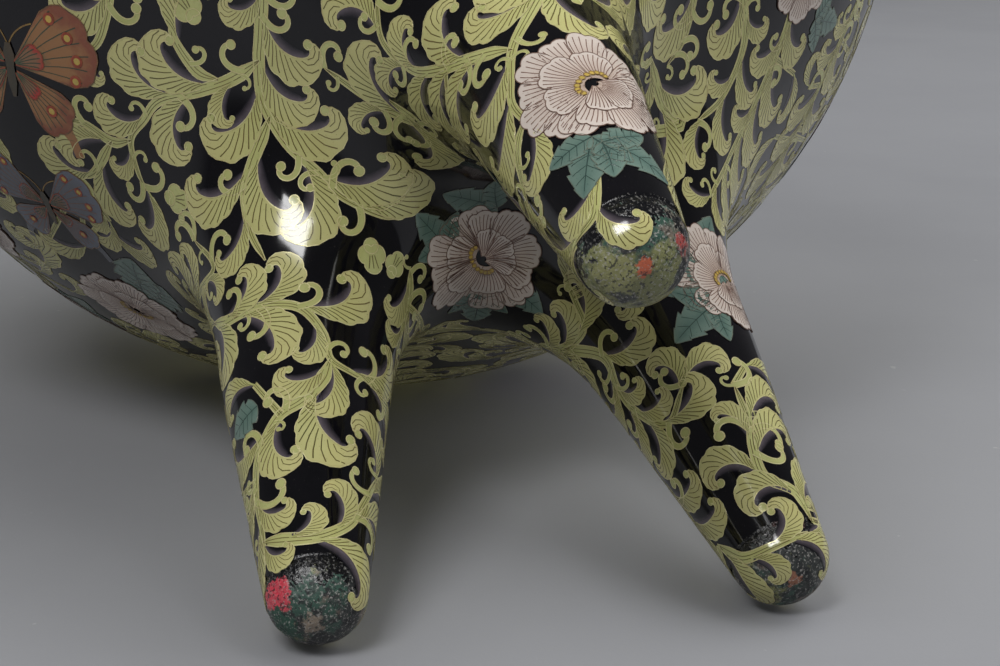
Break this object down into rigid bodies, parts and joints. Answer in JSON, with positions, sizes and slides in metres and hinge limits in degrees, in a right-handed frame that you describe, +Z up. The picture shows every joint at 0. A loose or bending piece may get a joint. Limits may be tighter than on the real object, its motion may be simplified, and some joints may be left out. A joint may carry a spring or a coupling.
{
  "type": "cloisonne vase",
  "caption": "Globular copper vase on three tapering legs, with black-ground cloisonne enamel, a short waisted neck and a metal mouth rim.",
  "frame": {"origin": "on the vase's axis, on the surface that its three feet stand on", "axes": "+Z up along the vase's axis; leg c points to azimuth -45 degrees from +X, leg b to +75, leg a to -165"},
  "size_m": [0.28, 0.28, 0.4392],
  "materials": {
    "black_ground_enamel": "polished gloss black enamel",
    "worn_enamel": "unpolished, pitted mixed enamels",
    "counter_enamel": "plain speckled blue-grey enamel",
    "beaten_copper": "beaten copper, dull",
    "silver_solder": "dull silver solder",
    "rim_metal": "satin silvered brass, lightly tarnished"
  },
  "bodies": {
    "root": {"body_bowl": "beaten_copper", "body_dome": "beaten_copper", "belly_seam": "silver_solder", "neck_tube": "beaten_copper", "neck_seam": "silver_solder", "leg_core_a": "beaten_copper", "leg_core_b": "beaten_copper", "leg_core_c": "beaten_copper", "leg_seam_a": "silver_solder", "leg_seam_b": "silver_solder", "leg_seam_c": "silver_solder", "lining_bowl": "counter_enamel", "lining_dome": "counter_enamel", "lining_neck": "counter_enamel", "enamel_bowl": "black_ground_enamel", "enamel_dome": "black_ground_enamel", "enamel_neck": "black_ground_enamel", "enamel_leg_a": "black_ground_enamel", "enamel_leg_b": "black_ground_enamel", "enamel_leg_c": "black_ground_enamel", "foot_tip_a": "worn_enamel", "foot_tip_b": "worn_enamel", "foot_tip_c": "worn_enamel", "mouth_rim": "rim_metal"}
  },
  "joints": []
}
